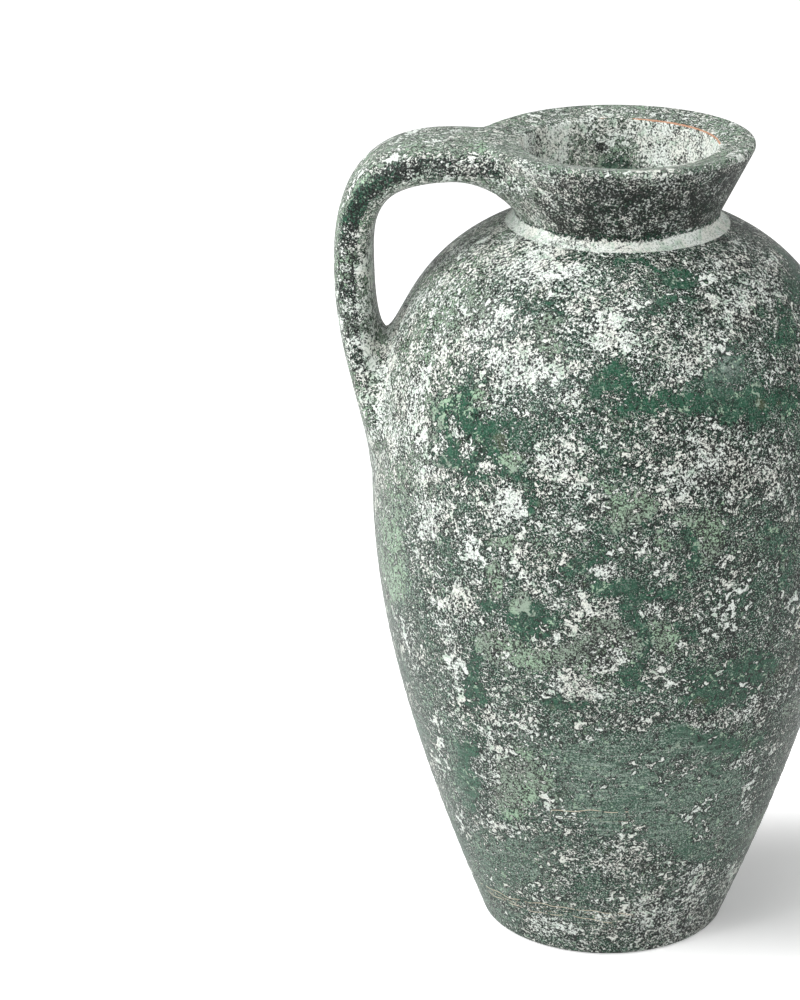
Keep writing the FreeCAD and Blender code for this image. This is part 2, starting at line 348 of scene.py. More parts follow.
def both_distances(points):
    """Distance to the pot, distance to the strap, and the reach k of their union. For the
    strap, with offsets u across and v out and g = (|u/w|^n + |v/h|^n)^(1/n), the distance is
    (g - 1) over the length of g's gradient. Inside the collar's wall it fades away. The reach
    grows with height, is shorter at the edges of the strap, and is short on top of its lip."""
    at, u, v, past = strap_place(points)
    w, h, n = on_spine(at, half_width, half_thickness, squareness)
    a = np.maximum(u / w, 1e-6)
    b = np.maximum(abs(v) / h, 1e-6)
    g = (a ** n + b ** n) ** (1 / n)
    grade = g ** (1 - n) * np.hypot(a ** (n - 1) / w, b ** (n - 1) / h)
    strap = (g - 1) / grade
    strap = np.where(past > 0, np.hypot(np.maximum(strap, 0), past), strap)
    at_collar = points[:, 2] > COLLAR_ZONE
    depth = collar_radius(np.minimum(points[:, 2], 447)) - 3 - np.hypot(points[:, 0], points[:, 1])
    strap += 0.5 * np.maximum(depth, 0) * at_collar
    low_reach = np.interp(points[:, 2], (300, 335, COLLAR_ZONE), (ROOT_REACH, 13.5, 28))
    low_reach = low_reach - (low_reach - ROOT_REACH) * 0.6 * smooth_step(0.5, 1.3, a)
    reach = low_reach + (LIP_REACH - low_reach) * smooth_step(-5, 6, v) * at_collar
    return pot_distance(points), strap, reach


sample = both_distances(np.array([(-BELLY_RADIUS, 0.0, BELLY_HEIGHT), (-GRIP[0], 0.0, GRIP[1])]))
print("belly and grip: pot", sample[0].round(1), "strap", sample[1].round(1))


# %% The common skin, and how a mesh is pushed onto it
def skin_distance(points, side=0):
    """Smooth minimum of the two distances a and b: min(a, b) - k h^2 / 4, where h is how far
    |a - b| falls short of k, as a share of k. The pot's mesh (side 1) and the strap's mesh
    (side -1) each dip under it where the other one takes over, so they cross cleanly."""
    a, b, k = both_distances(points)
    h = np.maximum(k - abs(a - b), 0) / k
    dip = 0.30 * smooth_step(-3, 3, side * (a - b)) if side else 0
    return np.minimum(a, b) - k * h * h / 4 + dip


def near_strap(points, reach=30):
    """Indices of the points that the strap may change: those in a box round the strap that
    are within reach of both surfaces."""
    x, y, z = points.T
    chosen = np.flatnonzero((x < -10) & (abs(y) < 78) & (z > 250))
    pot, strap, _ = both_distances(points[chosen])
    return chosen[(pot < reach) & (strap < reach)]


def swell(points, normals, side, most):
    """Push points along their normals onto the common skin, by at most a set length: each
    step is the gap over the slope that the last step showed (the secant rule). The normals
    there are the skin's own, the gradient of the field by central differences."""
    chosen = near_strap(points)
    push = np.zeros(len(chosen))
    gap = skin_distance(points[chosen], side)
    slope = np.ones(len(chosen))
    for _ in range(8):
        step = np.clip(push - gap / slope, 0, most) - push
        push = push + step
        now = points[chosen] + normals[chosen] * push[:, None]
        new_gap = skin_distance(now, side)
        moved = abs(step) > 1e-3
        slope[moved] = np.clip((new_gap - gap)[moved] / step[moved], 0.25, 1.2)
        gap = new_gap
    points, normals = points.copy(), normals.copy()
    points[chosen] = now
    grade = np.stack([skin_distance(now + step) - skin_distance(now - step)
                      for step in 0.3 * np.eye(3)], axis=1)
    normals[chosen] = np.where(abs(gap)[:, None] < 1.0, unit(grade), normals[chosen])
    return points, normals


# %% [markdown]
# ## From an outline to a closed mesh
#
# `turn` spins a closed outline into a grid of points, one column per angle, and stitches the
# columns into quads. Where the outline starts and ends on the axis, the poles become single
# points, so the skin has no hole. A slow waver, the same function of place for every piece,
# keeps the forms from looking machined.

# %% Waver of the hand
RING_SPACING = (8.5, 3.9)
RINGS_BELOW = 255
INSET = 0.27
PRESS_FROM = 449.0
PRESS_MOST = 0.95


def waver(points):
    """A hand's unevenness, in millimetres: three slow sine waves in space, and shallow
    throwing rings, a sine of the height whose phase drifts round the pot. What stands proud
    of the rim is pressed level, as on a pot that has dried upside down. The whole skin stands
    in by the inset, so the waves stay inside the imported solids' box."""
    x, y, z = points.T
    angle = np.arctan2(y, x)
    radius = np.maximum(np.hypot(x, y), 1e-6)
    slow = (0.11 * np.sin(2 * angle + 0.013 * z) + 0.08 * np.sin(3 * angle + 1.3 - 0.021 * z)
            + 0.07 * np.sin(0.045 * z + 1.7 * np.sin(angle)))
    wide, narrow = [2 * np.pi * z / spacing for spacing in RING_SPACING]
    rings = (0.10 * np.sin(wide + 0.9 * np.sin(angle + 0.4))
             + 0.06 * np.sin(narrow + 1.5 * np.sin(angle)))
    low = np.clip((RINGS_BELOW - z) / 120, 0, 1) * np.clip(radius / 30, 0, 1)
    push = slow * np.clip(radius / 40, 0, 1) + rings * low - INSET
    proud = np.maximum(z - PRESS_FROM, 0)
    press = PRESS_MOST * (1 - np.exp(-proud / PRESS_MOST)) - proud
    return points + np.stack([x / radius * push, y / radius * push, press], axis=1)


def wavered(points, normals, step=0.2):
    """The wavered points and their normals: two short steps square to each normal are
    carried through the waver, and their cross product is the new normal."""
    helper = np.where(abs(normals[:, 2:]) < 0.8, (0.0, 0.0, 1.0), (1.0, 0.0, 0.0))
    first = unit(np.cross(helper, normals))
    second = np.cross(normals, first)
    moved = waver(points)
    return moved, unit(np.cross(waver(points + first * step) - moved,
                                waver(points + second * step) - moved))


print("waver at the rim", waver(np.array([(RIM_RADIUS, 0.0, RIM_HEIGHT)])).round(2))


# %% Mesh helpers
def make_object(name, points, quads, triangles=(), normals=None):
    """A smooth-shaded mesh object from millimetre points and index arrays."""
    mesh = bpy.data.meshes.new(name)
    faces = [tuple(face) for kind in (quads, triangles) for face in np.asarray(kind).tolist()]
    mesh.from_pydata((points * MM).tolist(), [], faces)
    mesh.update()
    mesh.polygons.foreach_set("use_smooth", np.ones(len(mesh.polygons), bool))
    if normals is not None:
        mesh.normals_split_custom_set_from_vertices(normals.tolist())
    piece = bpy.data.objects.new(name, mesh)
    bpy.context.scene.collection.objects.link(piece)
    return piece


def ring_quads(rows, around, closed=False):
    """Quads between the neighbouring rows of a grid with a number of points around. A closed
    grid joins its last row to its first."""
    i = np.arange(rows if closed else rows - 1)[:, None] * around
    j = np.arange(around)
    k = (j + 1) % around
    up = (i + around) % (rows * around)
    return np.stack(np.broadcast_arrays(i + j, i + k, up + k, up + j), axis=2).reshape(-1, 4)


def outline_normals(outline, closed, faced=None):
    """Normals on the right-hand side of the way the outline runs, from its local direction.
    Where two runs meet at a corner, the rows listed in faced take the side of one run."""
    if closed:
        ahead = np.roll(outline, -1, axis=0) - np.roll(outline, 1, axis=0)
    else:
        ahead = np.gradient(outline, axis=0)
    for row, step in (faced or {}).items():
        ahead[row] = (outline[(row + step) % len(outline)] - outline[row]) * step
    return right_side(ahead)


def turn(name, outline, around, faced=None, swell_rows=None, most=0.0):
    """Spin an outline (radius, height) about the axis. The point for row i and column j is
    (r cos a, r sin a, z) with a = 2 pi (j + 1/2) / around. The slice swell_rows is pushed
    onto the common skin. An outline that ends on the axis gets one point at each pole."""
    poles = outline[0, 0] < 1e-6
    side = outline_normals(outline, not poles, faced)
    rows = outline[1:-1] if poles else outline
    side = side[1:-1] if poles else side
    a = 2 * np.pi * (np.arange(around) + 0.5) / around
    ring = np.stack([np.cos(a), np.sin(a)], axis=1)
    grid, normals = np.empty((2, len(rows), around, 3))
    for array, pair in ((grid, rows), (normals, side)):
        array[..., :2] = pair[:, None, :1] * ring
        array[..., 2] = pair[:, None, 1]
    if swell_rows:
        flat, flat_normals = swell(grid[swell_rows].reshape(-1, 3),
                                   normals[swell_rows].reshape(-1, 3), 1, most)
        grid[swell_rows] = flat.reshape(-1, around, 3)
        normals[swell_rows] = flat_normals.reshape(-1, around, 3)
    points, normals = wavered(grid.reshape(-1, 3), normals.reshape(-1, 3))
    quads, triangles = ring_quads(len(rows), around, closed=not poles), ()
    if poles:
        base, top, last = len(points), len(points) + 1, (len(rows) - 1) * around
        points = np.concatenate([points, [[0, 0, outline[0, 1]], [0, 0, outline[-1, 1]]]])
        normals = np.concatenate([normals, [[0, 0, -1], [0, 0, 1]]])
        j = np.arange(around)
        k = (j + 1) % around
        triangles = np.concatenate([
            np.stack([np.full(around, base), k, j], axis=1),
            np.stack([np.full(around, top), last + j, last + k], axis=1)])
    return make_object(name, points, quads, triangles, normals)


# %% [markdown]
# ## Lower body
#
# The first thing off the wheel: floor, foot and wall up to the belly. The foot's edge is a
# small round heel where the pot was cut from the wheel and wiped. The top edge has a groove
# that takes the shoulder section.

# %% Turn the lower body
FLOOR_ROUNDING = 13.0
FLOOR_ROUND_INSET = 9.0


def row_at(outline, corner):
    """Number of the outline's point that is nearest to a corner."""
    return int(np.argmin(np.linalg.norm(outline - corner, axis=1)))


tongue_tip = np.array([BELLY_RADIUS - WALL / 2, BELLY_HEIGHT - JOINT_TONGUE])
floor_round = arc((floor_radius - FLOOR_ROUND_INSET, FLOOR + FLOOR_ROUNDING),
                  FLOOR_ROUNDING, -20, -90, 9)
inner_wall = inner_low[inner_low[:, 1] > floor_round[0, 1] + 2]
lower_outline = chain(
    even(straight((0, 0), heel[0]), 6.5), heel, even(wall_above_heel, 1.95),
    straight(belly, tongue_tip, 4), straight(tongue_tip, inner_belly, 4),
    even(inner_wall[::-1], 5.0), floor_round, even(straight(floor_round[-1], (0, FLOOR)), 6.0))
lower_skin = turn("lower_body_skin", lower_outline, 380, {row_at(lower_outline, belly): -1})
print("lower body faces", len(lower_skin.data.polygons))

# %% [markdown]
# ## Shoulder
#
# The second section closes the form. Near the handle its skin swells into the strap's root,
# so it gets more columns than the lower body.

# %% Turn the shoulder
shoulder_outer = even(shoulder_run, 1.75)
under_coil = even(wall_high[wall_high[:, 0] <= coil_lower[0] + 0.01], 2.5)
tongue = straight(tongue_tip, belly, 4)
belly_row = len(tongue) - 1
upper_outline = chain(
    tongue, shoulder_outer, under_coil,
    straight(shoulder_corner, throat_corner, 4), even(inner_high[::-1], 5.0),
    straight(inner_belly, tongue_tip, 4))[:-1]
upper_skin = turn("upper_body_skin", upper_outline, 500, {belly_row: 1},
                  slice(belly_row, belly_row + len(shoulder_outer)), most=8.0)
print("shoulder faces", len(upper_skin.data.polygons))

# %% [markdown]
# ## Collar
#
# A flared cone with a rounded rim. Its lip is broad and dips a little towards the mouth,
# which has a fine, worn inner edge.

# %% Turn the collar
MOUTH_ROUNDING = 1.5
inward = unit(throat_corner - mouth_edge)
lip_way = unit(rim_inner - mouth_edge)
mouth_round = np.array([
    mouth_edge + MOUTH_ROUNDING * (lip_way * (1 - s) ** 2 + inward * s ** 2)
    for s in np.linspace(0, 1, 6)])
collar_outline = chain(
    even(straight(throat_corner, shoulder_corner), 3.0),
    even(straight(shoulder_corner, coil_upper), 2.0),
    even(straight(coil_upper, rim_outer), 1.1), bead,
    even(straight(rim_inner, mouth_round[0]), 1.2), mouth_round,
    even(straight(mouth_round[-1], throat_corner), 2.0))[:-1]
corner_row = row_at(collar_outline, shoulder_corner)
first_open = corner_row + 2
open_rows = int((collar_outline[first_open:, 0] > MOUTH_RADIUS + 2).argmin())
collar_skin = turn("neck_skin", collar_outline, 480, {0: -1, corner_row: 1},
                   slice(first_open, first_open + open_rows), most=15.0)
print("collar faces", len(collar_skin.data.polygons))

# %% [markdown]
# ## Coil at the collar's foot
#
# A thin coil of soft clay is wiped into the corner where the collar sits on the shoulder.
# It is hollow on its open side, like the mark of a fingertip.

# %% Turn the coil
coil_outline = chain(coil_hollow, straight(coil_upper, shoulder_corner, 3),
                     under_coil[::-1])[:-1]
coil_skin = turn("neck_seam_skin", coil_outline, 480, {0: 1, len(coil_hollow) - 1: -1},
                 slice(0, len(coil_hollow)), most=12.0)
print("coil faces", len(coil_skin.data.polygons))


# %% [markdown]
# ## Handle
#
# The strap is its section carried along the centre line. Its skin is swollen in the same
# way as the pot's, so the webs at the lip and in the crotch come out by themselves, and this
# one piece stands for the strap and both of its clay webs.

# %% Carry the section along the centre line
def signed_power(value, power):
    """|value| ^ power, with the sign of the value."""
    return np.sign(value) * abs(value) ** power


def strap_grid(rows, around):
    """Point at share s and angle t: centre(s) + across * w(s) * c + out(s) * h(s) * d, where
    (c, d) = (cos t, sin t) with each size raised to the power 2 / n(s) and its sign kept.
    The first rows are bent back round the collar, so that the start stays in its wall."""
    centre_r, centre_z, out_r, out_z, w, h, n = [column[:, None] for column in on_spine(
        np.linspace(0, len(spine) - 1, rows), *spine.T, *spine_out.T, half_width,
        half_thickness, squareness)]
    t = 2 * np.pi * np.arange(around) / around
    c, d = signed_power(np.cos(t), 2 / n), signed_power(np.sin(t), 2 / n)
    reach, across = centre_r + out_r * h * d, w * c
    bent = wrapped(reach)
    x = reach + (reach * np.cos(across / reach) - reach) * bent
    y = across + (reach * np.sin(across / reach) - across) * bent
    points = np.stack([-x, y, centre_z + out_z * h * d], axis=2)
    nc, nd = signed_power(c, n - 1) / w, signed_power(d, n - 1) / h
    normals = unit(np.stack([-out_r * nd, nc, out_z * nd], axis=2))
    return points.reshape(-1, 3), normals.reshape(-1, 3)


def kept_in_wall(points, deepest):
    """Points that lie deeper in the pot than its wall should show are brought out along the
    radius until they are at the deepest depth."""
    depth = np.maximum(-deepest - pot_distance(points), 0) * (points[:, 2] < COLLAR_ZONE)
    scale = 1 + depth / np.hypot(points[:, 0], points[:, 1])
    return points * np.stack([scale, scale, np.ones(len(scale))], axis=1)


rows, around = 260, 140
strap_points, strap_normals = strap_grid(rows, around)
for _ in range(3):
    strap_points = kept_in_wall(strap_points, 4.5)
strap_points, strap_normals = swell(strap_points, strap_normals, -1, most=15.0)
strap_points, strap_normals = wavered(strap_points, strap_normals)
# Each end is closed by rungs between its upper and its lower edge, so it can be bent
half = around // 2
m = np.arange(1, half - 1)
rungs = np.stack([m, m + 1, around - m - 1, around - m], axis=1)
tips = np.array([(0, 1, around - 1), (half - 1, half, half + 1)])
end = (rows - 1) * around
handle_skin = make_object(
    "handle_skin", strap_points,
    np.concatenate([ring_quads(rows, around)[:, [0, 3, 2, 1]], rungs, rungs[:, ::-1] + end]),
    np.concatenate([tips, tips[:, ::-1] + end]), strap_normals)
print("handle faces", len(handle_skin.data.polygons))

skins = [lower_skin, upper_skin, collar_skin, coil_skin, handle_skin]

# %% [markdown]
# ## Where the glaze differs: masks on the vertices
#
# Dipping, sponging and years of wear leave large shapes on the pot: solid green bands, patches
# rich in white flakes, smooth washes. They are listed as soft ellipses on the wall, in
# cylinder coordinates, and stored as numbers on the vertices. The fine texture inside each
# shape is left to the material's noise. The far side gets ellipses from a fixed random seed.

# %% Listed ellipses
# Columns: angle in degrees, height, half length round the pot, half length up it, tilt, strength
SOLID = np.array([
    (-71, 340, 61, 7, -8, 1), (-46, 337, 22, 11, -11, 1), (-126, 316, 34, 22, -3, 1),
    (-124, 300, 14, 8, 16, 0.8), (-107, 292, 15, 6, -89, 0.9), (-118, 231, 9, 6, 0, 0.8),
    (-107, 232, 18, 6, 1, 1), (-99, 252, 14, 6, 64, 0.9), (-106, 227, 17, 11, 17, 1),
    (-83, 224, 19, 6, -88, 1), (-71, 223, 9, 7, -21, 0.7), (-90, 352, 13, 6, 1, 0.8),
    (-38, 366, 18, 10, 0, 0.7), (-72, 384, 14, 5, -4, 0.9), (-110, 380, 10, 5, 5, 0.8),
    (-99, 176, 14, 6, 8, 0.9), (-82, 197, 14, 7, -86, 0.9), (-61, 181, 31, 16, -9, 1),
    (-51, 188, 19, 8, -22, 0.8), (-57, 146, 34, 8, -16, 0.9), (-58, 126, 12, 7, -55, 0.7),
    (-130, 144, 66, 8, 73, 1), (-83, 115, 12, 8, -6, 0.45), (-85, 102, 10, 7, -3, 0.4),
    (-59, 75, 20, 10, -27, 0.5), (-98, 55, 11, 9, 60, 0.5), (-120, 96, 16, 3, 20, 0.7),
    (-84, 245, 27, 8, -1, 1), (-94, 263, 15, 5, 84, 0.9), (-71, 262, 16, 5, -82, 0.9),
    (-84, 283, 22, 4, -1, 0.5), (-81, 353, 20, 5, -6, 0.6), (-58, 319, 24, 4, -9, 0.6),
    (-48, 250, 24, 10, -81, 0.6), (-58, 233, 18, 10, -78, 0.55), (-131, 247, 23, 7, 86, 0.45),
    (-140, 205, 30, 10, 75, 0.4), (-67, 360, 23, 6, -6, 0.5), (-112, 320, 11, 6, 9, 0.5),
    (-93, 318, 13, 5, 2, 0.5), (-84, 309, 10, 5, -1, 0.5), (-102, 333, 12, 4, 5, 0.5),
    (-68, 397, 22, 6, -4, 0.9),
    (-63, 355, 18, 12, -8, 1.0), (-118, 304, 24, 9, 4, 0.7)])
RICH = np.array([
    (-117, 358, 24, 12, 8, 1), (-105, 356, 9, 7, 2, 0.7), (-89, 371, 19, 12, 1, 0.9),
    (-79, 354, 9, 5, -2, 0.7), (-73, 363, 15, 11, -7, 0.85), (-46, 379, 26, 7, -7, 0.7),
    (-47, 341, 10, 7, -8, 0.8), (-79, 332, 7, 6, -4, 0.8), (-64, 306, 30, 16, -10, 0.85),
    (-73, 299, 11, 8, -12, 0.8), (-113, 289, 15, 10, 16, 0.95), (-136, 267, 19, 10, 24, 0.8),
    (-136, 310, 5, 3, 18, 0.7), (-129, 320, 6, 5, 22, 1.0), (-126, 313, 7, 4, 16, 1.0),
    (-134, 292, 8, 4, 20, 1.0), (-120, 304, 7, 5, 26, 1.0), (-137, 289, 7, 4, 23, 1.0),
    (-90, 256, 10, 7, 2, 0.8), (-76, 238, 15, 4, -5, 0.7), (-89, 231, 8, 6, 1, 0.8),
    (-57, 323, 16, 6, -10, 0.7), (-96, 187, 17, 6, 6, 1), (-91, 207, 12, 7, 2, 0.8),
    (-56, 162, 34, 6, -4, 0.8), (-68, 135, 14, 8, -20, 0.6), (-54, 134, 26, 6, -3, 0.6),
    (-126, 154, 22, 12, 37, 0.6), (-42, 98, 20, 8, -36, 0.6),
    (-122, 85, 30, 8, 22, 0.55), (-84, 76, 19, 18, -43, 0.55),
    (-60, 22, 45, 19, -25, 1.0), (-48, 42, 31, 12, -11, 0.7), (-106, 15, 28, 8, 15, 0.8),
    (-93, 344, 15, 6, 2, 0.6), (-102, 308, 16, 14, 85, 0.5), (-51, 301, 21, 16, -82, 0.55),
    (-101, 243, 12, 7, 87, 0.5), (-130, 224, 31, 18, 74, 0.35), (-125, 395, 23, 11, 8, 0.6),
    (-134, 366, 23, 12, 37, 0.5), (-95, 387, 26, 7, 3, 0.5), (-112, 400, 22, 5, 6, 1),
    (-132, 400, 22, 8, 6, 1), (-150, 320, 14, 30, 0, 0.5)])
WASH = np.array([
    (-84, 289, 13, 8, 20, 0.9), (-79, 270, 6, 4, -86, 0.7), (-66, 269, 15, 8, -85, 0.9),
    (-135, 275, 8, 5, 26, 0.8), (-112, 312, 8, 4, 10, 0.7), (-114, 266, 7, 5, 23, 0.8),
    (-116, 246, 8, 5, 77, 0.8), (-110, 237, 7, 6, 51, 0.8), (-90, 215, 13, 11, 3, 0.9),
    (-76, 219, 10, 8, -64, 0.8), (-110, 371, 10, 5, 4, 0.6), (-116, 204, 19, 9, 18, 0.7),
    (-99, 204, 28, 11, 7, 0.95), (-117, 117, 27, 16, 65, 0.7), (-155, 230, 36, 18, 62, 0.6),
    (-125, 336, 13, 5, 11, 0.4), (-70, 281, 11, 6, -10, 0.5), (-88, 294, 10, 5, 0, 0.5),
    (-138, 372, 26, 9, 40, 0.6), (-146, 350, 30, 8, 60, 0.5)])
STILL = np.array([
    (-77, 121, 64, 43, -14, 1), (-129, 58, 50, 22, 36, 0.8), (-91, 141, 42, 16, 3, 0.7),
    (-50, 82, 57, 25, -33, 0.6), (-157, 224, 68, 24, 68, 0.5), (-150, 110, 50, 30, 60, 0.6),
    (-80, 34, 60, 26, 0, 0.4)])

# Long scratches on the lower body, as angles in degrees and heights
SCRATCHES = [np.array(line, float) for line in (
    [(-152, 27), (-140, 30), (-130, 30), (-113, 34), (-95, 34), (-77, 31)],
    [(-148, 24), (-132, 26), (-118, 26), (-101, 29), (-85, 25)],
    [(-106, 104), (-94, 107), (-82, 106)])]
print("ellipses", [len(table) for table in (SOLID, RICH, WASH, STILL)])


# %% Ellipses for the far side
def scattered(seed, count, sizes, strengths):
    """Ellipses for the far side, drawn from a random generator with a fixed seed."""
    draw = np.random.default_rng(seed)
    long = draw.uniform(*sizes, count)
    return np.stack([draw.uniform(-28, 192, count), draw.uniform(15, 395, count), long,
                     long * draw.uniform(0.3, 0.6, count), draw.uniform(-25, 25, count),
                     draw.uniform(*strengths, count)], axis=1)


SOLID = np.concatenate([SOLID, scattered(3, 44, (14, 46), (0.6, 1))])
RICH = np.concatenate([RICH, scattered(5, 46, (12, 38), (0.5, 1))])
WASH = np.concatenate([WASH, scattered(8, 20, (10, 30), (0.5, 0.95))])
STILL = np.concatenate([STILL, scattered(13, 8, (40, 70), (0.5, 1)) * (1, 0.4, 1, 1, 1, 1)])

print("with the far side", [len(table) for table in (SOLID, RICH, WASH, STILL)])

# %% From ellipses to masks
pot_wall = np.concatenate([wall_low, wall_high[1:]])
wall_length = length_along(pot_wall)


def polar(points):
    """Angle round the axis, in degrees, and distance from it."""
    x, y = points[:, 0], points[:, 1]
    return np.degrees(np.arctan2(y, x)), np.hypot(x, y)


def turned_from(angle, centre):
    """Angle from one direction round the pot to another, from -180 to 180 degrees."""
    return (angle - centre + 180) % 360 - 180


def soft_edge(reach):
    """1 within a reach of 0.55, 0 beyond 1.3, and a smooth step between them."""
    return 1 - smooth_step(0.55, 1.3, reach)


def drifted(points):
    """Places moved sideways by a few sines of each other, so that round shapes get the
    lobes and bays of something that flowed or wore."""
    x, y, z = points.T
    first = points + np.stack([
        4.5 * np.sin(y / 11 + 1.7 * np.sin(z / 9)), 4.5 * np.sin(z / 10 + 1.6 * np.sin(x / 8)),
        4.0 * np.sin(x / 12 + 1.9 * np.sin(y / 10 + z / 13))], axis=1)
    x, y, z = first.T
    return first + np.stack([
        2.2 * np.sin(z / 3.9 + 2 * np.sin(y / 5.1)), 2.2 * np.sin(x / 4.3 + 2 * np.sin(z / 4.7)),
        2.2 * np.sin(x / 3.7 + y / 5.3 + 1.5 * np.sin(z / 6.1))], axis=1)


def ellipses(points, table):
    """For each ellipse, e = |(p / a, q / b)|, where (p, q) are the lengths round and up the
    wall, turned by the tilt. Its value is its strength times the soft edge of e, and the
    greatest value counts."""
    points = drifted(points)
    angle, radius = polar(points)
    up = np.interp(points[:, 2], pot_wall[:, 1], wall_length)
    value = np.zeros(len(points))
    for centre, height, a, b, tilt, strength in table:
        p = np.radians(turned_from(angle, centre)) * radius
        q = up - np.interp(height, pot_wall[:, 1], wall_length)
        c, s = math.cos(math.radians(tilt)), math.sin(math.radians(tilt))
        e = np.hypot((p * c + q * s) / a, (q * c - p * s) / b)
        value = np.maximum(value, strength * soft_edge(e))
    return value


print("wall length", round(wall_length[-1], 1))

# %% Dabs, and storing the masks on a piece
LAYERS = ("solid", "flake", "wash", "still", "dark", "bare")
SCRATCH_FAR = 6.0


def vertices(piece):
    """Vertex positions of a piece, in millimetres."""
    flat = np.empty(3 * len(piece.data.vertices))
    piece.data.vertices.foreach_get("co", flat)
    return flat.reshape(-1, 3) / MM


def dab(layers, points, table):
    """Draw masks towards a target, each in a soft ball round a centre."""
    for name, centre, radius, target in table:
        near = soft_edge(np.linalg.norm(points - centre, axis=1) / radius)
        layers[name] = layers[name] + (target - layers[name]) * near


def store(piece, stroke, layers, scratch=None):
    """Write the masks, the distance from the nearest scratch, and the stroke coordinates: a
    place in millimetres that is squeezed across the strokes, so that a noise in it is drawn
    out along them."""
    values = {name: np.clip(layers[name], 0, 1) for name in LAYERS}
    values["scratch"] = np.full(len(stroke), SCRATCH_FAR) if scratch is None else scratch
    for name, numbers in values.items():
        attribute = piece.data.attributes.new(name, "FLOAT", "POINT")
        attribute.data.foreach_set("value", numbers.astype(np.float32))
    attribute = piece.data.attributes.new("stroke", "FLOAT_VECTOR", "POINT")
    attribute.data.foreach_set("vector", stroke.astype(np.float32).ravel())
    print(piece.name, {name: round(float(np.mean(layers[name])), 2) for name in LAYERS})


# %% Paint the body sections
def paint_body(piece):
    """Body sections: the ellipses outside, and a pale slip inside. A patch with flakes has
    fewer of them where it is solid, washed or still. The foot's flat face is bare clay."""
    points = vertices(piece)
    z = points[:, 2]
    angle, radius = polar(points)
    solid, rich, wash, still = [ellipses(points, t) for t in (SOLID, RICH, WASH, STILL)]
    solid = solid * (1 - 0.7 * rich)
    # Left side of the upper body, facing the left lamp: more flakes and wash and fewer dark specks,
    # partly its paler glaze and partly a painted sheen of that lamp
    left_pale_and_sheen = smooth_step(50, 22, abs(turned_from(angle, -172))) * smooth_step(200, 300, z)
    # Right side, away from the lamps: fewer flakes and more dark specks, partly its smoother glaze
    # and partly painted shade
    right = smooth_step(120, 80, abs(turned_from(angle, 20)))
    flake = (0.33 + 0.31 * rich - 0.29 * solid - 0.14 * wash - 0.23 * still + 0.10 * left_pale_and_sheen
             - 0.07 * right * smooth_step(370, 330, z))
    wash = np.maximum(wash, 0.55 * left_pale_and_sheen)
    dark = (0.44 + 0.18 * rich - 0.3 * solid + 0.25 * wash - 0.22 * still + 0.18 * right
            - 0.06 * left_pale_and_sheen)
    inside = smooth_step(4.0, 6.0, np.interp(z, pot_wall[:, 1], pot_wall[:, 0]) - radius)
    layers = {"solid": solid * (1 - inside), "flake": flake + (0.8 - flake) * inside,
              "wash": wash, "still": still, "dark": dark * (1 - inside),
              "bare": smooth_step(0.4, 0.0, z) * (radius < FOOT_RADIUS - 3)}
    scratch = np.full(len(points), SCRATCH_FAR)
    for line in SCRATCHES:
        away = z - np.interp(angle, line[:, 0], line[:, 1]) - 0.4 * np.sin(angle / 1.7)
        on_line = (angle > line[0, 0]) & (angle < line[-1, 0])
        scratch = np.where(on_line & (abs(away) < abs(scratch)), away, scratch)
    store(piece, points * (0.3, 0.3, 5), layers, scratch)


paint_body(lower_skin)
paint_body(upper_skin)

# %% Paint the collar
# Columns: mask, centre of the dab, radius, target
COLLAR_DABS = (
    ("flake", (-10, 48, 426), 25, 0.44), ("wash", (-12, 47, 426), 27, 0.85),
    ("wash", (-2, 50, 414), 15, 0.1), ("solid", (-2, 50, 414), 15, 0.9),
    ("flake", (-2, 50, 414), 16, 0.12), ("still", (5, 50, 430), 28, 1.0),
    ("flake", (-42, 28, 434), 13, 0.6), ("dark", (-9, 49, 431), 4.0, 1.0),
    ("dark", (-46, 21, 437), 10, 0.8), ("dark", (33, 40, 436), 22, 0.62),
    ("dark", (-32.2, -51, 420), 11, 1.0), ("flake", (-32.2, -51, 420), 11, 0.5))


def paint_collar(piece):
    """Collar: a dark fine speckle on the wall, lighter towards the handle, a grey-green lip with a
    pale line along its outer edge, and a pale mouth with a puddle of green and a ring of bare clay."""
    points = vertices(piece)
    z = points[:, 2]
    angle, radius = polar(points)
    outer = smooth_step(-3.5, -1.5, radius - collar_radius(z)) * smooth_step(447.6, 445.5, z)
    mouth = smooth_step(MOUTH_RADIUS + 0.8, MOUTH_RADIUS - 0.8, radius) * (z > 396)
    lip = np.clip(1 - outer - mouth, 0, 1)
    left = smooth_step(75, 45, abs(turned_from(angle, 180)))
    # A pale line of slip just under the bead, all round
    edge = smooth_step(440, 445, z) * outer
    ring = np.exp(-((radius - MOUTH_RADIUS - 0.6) / 0.55) ** 2) * (z > 443)
    layers = {
        "solid": outer * (0.75 - 0.25 * left) + lip * 0.3 + mouth * 0.1,
        "flake": outer * (0.44 + 0.04 * left) + lip * 0.34 + mouth * 0.84 + edge * 0.14,
        "wash": outer * 0.8 * left + lip * 0.45 + mouth * 0.3,
        "still": lip * 0.5 + mouth * 0.2,
        "dark": outer * (0.95 - 0.35 * left) + lip * 0.26 + mouth * 0.42,
        "bare": ring * np.maximum(smooth_step(92, 76, angle) * smooth_step(-6, 4, angle),
                                  0.6 * np.exp(-((angle - 100) / 6) ** 2))}
    dab(layers, points, COLLAR_DABS)
    stroke = np.stack([points[:, 0] * 0.35, points[:, 1] * 0.35, (radius + z) * 4], axis=1)
    store(piece, stroke, layers)


paint_collar(collar_skin)


